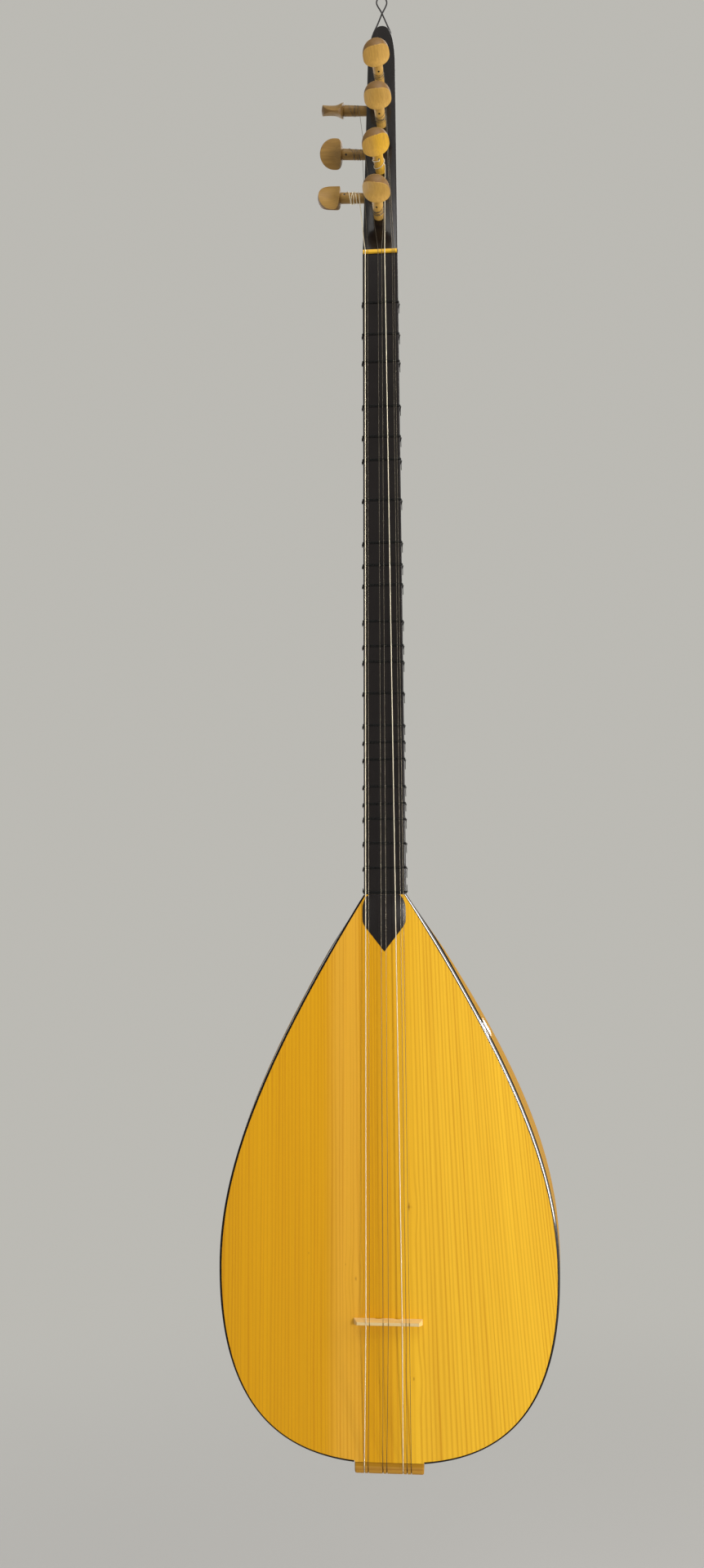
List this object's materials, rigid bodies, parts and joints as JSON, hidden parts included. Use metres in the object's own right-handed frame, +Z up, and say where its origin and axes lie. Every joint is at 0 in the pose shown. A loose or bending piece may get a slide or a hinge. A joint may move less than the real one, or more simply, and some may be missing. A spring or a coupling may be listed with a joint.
{
  "type": "long-necked lute",
  "caption": "Long-necked lute with a pear-shaped bowl, tied frets, courses of steel strings and turned wooden tuning pegs, hanging from a thin cord loop.",
  "frame": {"origin": "the top of the cord loop that it hangs from, over the tip of the head", "axes": "+Z up along the neck towards the head, +Y from the soundboard into the bowl, +X to the viewer's right when the strings face the viewer"},
  "size_m": [0.2774, 0.1904, 1.2914],
  "materials": {
    "neck": "glossy black lacquer",
    "head": "glossy black lacquer",
    "peg_front_1": "bare turned wood",
    "winding_front_1": "plain steel string",
    "peg_front_2": "bare turned wood",
    "winding_front_2": "plain steel string",
    "peg_front_3": "bare turned wood",
    "winding_front_3": "wound steel string",
    "peg_front_4": "bare turned wood",
    "winding_front_4": "plain steel string",
    "peg_side_1": "bare turned wood",
    "winding_side_1": "plain steel string",
    "peg_side_2": "bare turned wood",
    "winding_side_2": "plain steel string",
    "peg_side_3": "bare turned wood",
    "winding_side_3": "wound steel string",
    "nut": "yellow varnished wood",
    "fret_01": "black nylon line",
    "fret_02": "black nylon line",
    "fret_03": "black nylon line",
    "fret_04": "black nylon line",
    "fret_05": "black nylon line",
    "fret_06": "black nylon line",
    "fret_07": "black nylon line",
    "fret_08": "black nylon line",
    "fret_09": "black nylon line",
    "fret_10": "black nylon line",
    "fret_11": "black nylon line",
    "fret_12": "black nylon line",
    "fret_13": "black nylon line",
    "fret_14": "black nylon line",
    "fret_15": "black nylon line",
    "fret_16": "black nylon line",
    "fret_17": "black nylon line",
    "fret_18": "black nylon line",
    "fret_19": "black nylon line",
    "fret_20": "black nylon line",
    "fret_21": "black nylon line",
    "fret_22": "black nylon line",
    "fret_23": "black nylon line",
    "bowl": "clear gloss varnish over orange-brown wood",
    "neck_block": "bare wood",
    "end_block": "bare wood",
    "soundboard_brace": "bare wood",
    "soundboard": "clear satin varnish over golden spruce",
    "tongue": "glossy black lacquered strip",
    "binding_right": "glossy black lacquered strip",
    "binding_left": "glossy black lacquered strip",
    "tail_block": "varnished orange-brown wood",
    "bridge": "bare pale wood",
    "string_upper_wound": "wound steel string",
    "string_upper_plain": "plain steel string",
    "string_middle_1": "plain steel string",
    "string_middle_2": "plain steel string",
    "string_lower_wound": "wound steel string",
    "string_lower_plain_1": "plain steel string",
    "string_lower_plain_2": "plain steel string",
    "hanging_loop": "black cord"
  },
  "bodies": {
    "instrument": {"neck": "neck", "head": "head", "nut": "nut", "bowl": "bowl", "neck_block": "neck_block", "end_block": "end_block", "soundboard_brace": "soundboard_brace", "soundboard": "soundboard", "tongue": "tongue", "binding_right": "binding_right", "binding_left": "binding_left", "tail_block": "tail_block", "string_upper_wound": "string_upper_wound", "string_upper_plain": "string_upper_plain", "string_middle_1": "string_middle_1", "string_middle_2": "string_middle_2", "string_lower_wound": "string_lower_wound", "string_lower_plain_1": "string_lower_plain_1", "string_lower_plain_2": "string_lower_plain_2", "hanging_loop": "hanging_loop"},
    "bridge": {"bridge": "bridge"},
    "peg_front_1": {"peg_front_1": "peg_front_1", "winding_front_1": "winding_front_1"},
    "peg_front_2": {"peg_front_2": "peg_front_2", "winding_front_2": "winding_front_2"},
    "peg_front_3": {"peg_front_3": "peg_front_3", "winding_front_3": "winding_front_3"},
    "peg_front_4": {"peg_front_4": "peg_front_4", "winding_front_4": "winding_front_4"},
    "peg_side_1": {"peg_side_1": "peg_side_1", "winding_side_1": "winding_side_1"},
    "peg_side_2": {"peg_side_2": "peg_side_2", "winding_side_2": "winding_side_2"},
    "peg_side_3": {"peg_side_3": "peg_side_3", "winding_side_3": "winding_side_3"},
    "fret_01": {"fret_01": "fret_01"},
    "fret_02": {"fret_02": "fret_02"},
    "fret_03": {"fret_03": "fret_03"},
    "fret_04": {"fret_04": "fret_04"},
    "fret_05": {"fret_05": "fret_05"},
    "fret_06": {"fret_06": "fret_06"},
    "fret_07": {"fret_07": "fret_07"},
    "fret_08": {"fret_08": "fret_08"},
    "fret_09": {"fret_09": "fret_09"},
    "fret_10": {"fret_10": "fret_10"},
    "fret_11": {"fret_11": "fret_11"},
    "fret_12": {"fret_12": "fret_12"},
    "fret_13": {"fret_13": "fret_13"},
    "fret_14": {"fret_14": "fret_14"},
    "fret_15": {"fret_15": "fret_15"},
    "fret_16": {"fret_16": "fret_16"},
    "fret_17": {"fret_17": "fret_17"},
    "fret_18": {"fret_18": "fret_18"},
    "fret_19": {"fret_19": "fret_19"},
    "fret_20": {"fret_20": "fret_20"},
    "fret_21": {"fret_21": "fret_21"},
    "fret_22": {"fret_22": "fret_22"},
    "fret_23": {"fret_23": "fret_23"}
  },
  "joints": [
    {"name": "peg_front_1_turn", "type": "hinge", "parent": "instrument", "child": "peg_front_1", "pos_m": [-0.0012, -0.02077, -0.10569], "axis": [-0.0628, -0.9724, 0.2245], "continuous": true},
    {"name": "peg_front_2_turn", "type": "hinge", "parent": "instrument", "child": "peg_front_2", "pos_m": [0.0005, -0.03231, -0.15567], "axis": [-0.0628, -0.9724, 0.2245], "continuous": true},
    {"name": "peg_front_3_turn", "type": "hinge", "parent": "instrument", "child": "peg_front_3", "pos_m": [-0.0002, -0.04446, -0.20829], "axis": [-0.0854, -0.9708, 0.2241], "continuous": true},
    {"name": "peg_front_4_turn", "type": "hinge", "parent": "instrument", "child": "peg_front_4", "pos_m": [-0.0012, -0.05615, -0.25895], "axis": [-0.0175, -0.9742, 0.2249], "continuous": true},
    {"name": "peg_side_1_turn", "type": "hinge", "parent": "instrument", "child": "peg_side_1", "pos_m": [-0.01324, -0.01775, -0.1304], "axis": [-0.9962, 0.0196, 0.0849], "continuous": true},
    {"name": "peg_side_2_turn", "type": "hinge", "parent": "instrument", "child": "peg_side_2", "pos_m": [-0.01381, -0.02965, -0.18194], "axis": [-0.9942, 0.0243, 0.1052], "continuous": true},
    {"name": "peg_side_3_turn", "type": "hinge", "parent": "instrument", "child": "peg_side_3", "pos_m": [-0.01435, -0.04099, -0.23105], "axis": [-0.9973, 0.0165, 0.0714], "continuous": true},
    {"name": "bridge_slide", "type": "slide", "parent": "instrument", "child": "bridge", "axis": [0, 0, 1], "range_m": [-0.003, 0.003]},
    {"name": "fret_01_slide", "type": "slide", "parent": "instrument", "child": "fret_01", "axis": [0, 0, 1], "range_m": [-0.004, 0.004]},
    {"name": "fret_02_slide", "type": "slide", "parent": "instrument", "child": "fret_02", "axis": [0, 0, 1], "range_m": [-0.004, 0.004]},
    {"name": "fret_03_slide", "type": "slide", "parent": "instrument", "child": "fret_03", "axis": [0, 0, 1], "range_m": [-0.004, 0.004]},
    {"name": "fret_04_slide", "type": "slide", "parent": "instrument", "child": "fret_04", "axis": [0, 0, 1], "range_m": [-0.004, 0.004]},
    {"name": "fret_05_slide", "type": "slide", "parent": "instrument", "child": "fret_05", "axis": [0, 0, 1], "range_m": [-0.004, 0.004]},
    {"name": "fret_06_slide", "type": "slide", "parent": "instrument", "child": "fret_06", "axis": [0, 0, 1], "range_m": [-0.004, 0.004]},
    {"name": "fret_07_slide", "type": "slide", "parent": "instrument", "child": "fret_07", "axis": [0, 0, 1], "range_m": [-0.004, 0.004]},
    {"name": "fret_08_slide", "type": "slide", "parent": "instrument", "child": "fret_08", "axis": [0, 0, 1], "range_m": [-0.004, 0.004]},
    {"name": "fret_09_slide", "type": "slide", "parent": "instrument", "child": "fret_09", "axis": [0, 0, 1], "range_m": [-0.004, 0.004]},
    {"name": "fret_10_slide", "type": "slide", "parent": "instrument", "child": "fret_10", "axis": [0, 0, 1], "range_m": [-0.004, 0.004]},
    {"name": "fret_11_slide", "type": "slide", "parent": "instrument", "child": "fret_11", "axis": [0, 0, 1], "range_m": [-0.004, 0.004]},
    {"name": "fret_12_slide", "type": "slide", "parent": "instrument", "child": "fret_12", "axis": [0, 0, 1], "range_m": [-0.004, 0.004]},
    {"name": "fret_13_slide", "type": "slide", "parent": "instrument", "child": "fret_13", "axis": [0, 0, 1], "range_m": [-0.004, 0.004]},
    {"name": "fret_14_slide", "type": "slide", "parent": "instrument", "child": "fret_14", "axis": [0, 0, 1], "range_m": [-0.004, 0.004]},
    {"name": "fret_15_slide", "type": "slide", "parent": "instrument", "child": "fret_15", "axis": [0, 0, 1], "range_m": [-0.004, 0.004]},
    {"name": "fret_16_slide", "type": "slide", "parent": "instrument", "child": "fret_16", "axis": [0, 0, 1], "range_m": [-0.004, 0.004]},
    {"name": "fret_17_slide", "type": "slide", "parent": "instrument", "child": "fret_17", "axis": [0, 0, 1], "range_m": [-0.004, 0.004]},
    {"name": "fret_18_slide", "type": "slide", "parent": "instrument", "child": "fret_18", "axis": [0, 0, 1], "range_m": [-0.004, 0.004]},
    {"name": "fret_19_slide", "type": "slide", "parent": "instrument", "child": "fret_19", "axis": [0, 0, 1], "range_m": [-0.004, 0.004]},
    {"name": "fret_20_slide", "type": "slide", "parent": "instrument", "child": "fret_20", "axis": [0, 0, 1], "range_m": [-0.004, 0.004]},
    {"name": "fret_21_slide", "type": "slide", "parent": "instrument", "child": "fret_21", "axis": [0, 0, 1], "range_m": [-0.004, 0.004]},
    {"name": "fret_22_slide", "type": "slide", "parent": "instrument", "child": "fret_22", "axis": [0, 0, 1], "range_m": [-0.004, 0.004]},
    {"name": "fret_23_slide", "type": "slide", "parent": "instrument", "child": "fret_23", "axis": [0, 0, 1], "range_m": [0, 0.004]}
  ]
}
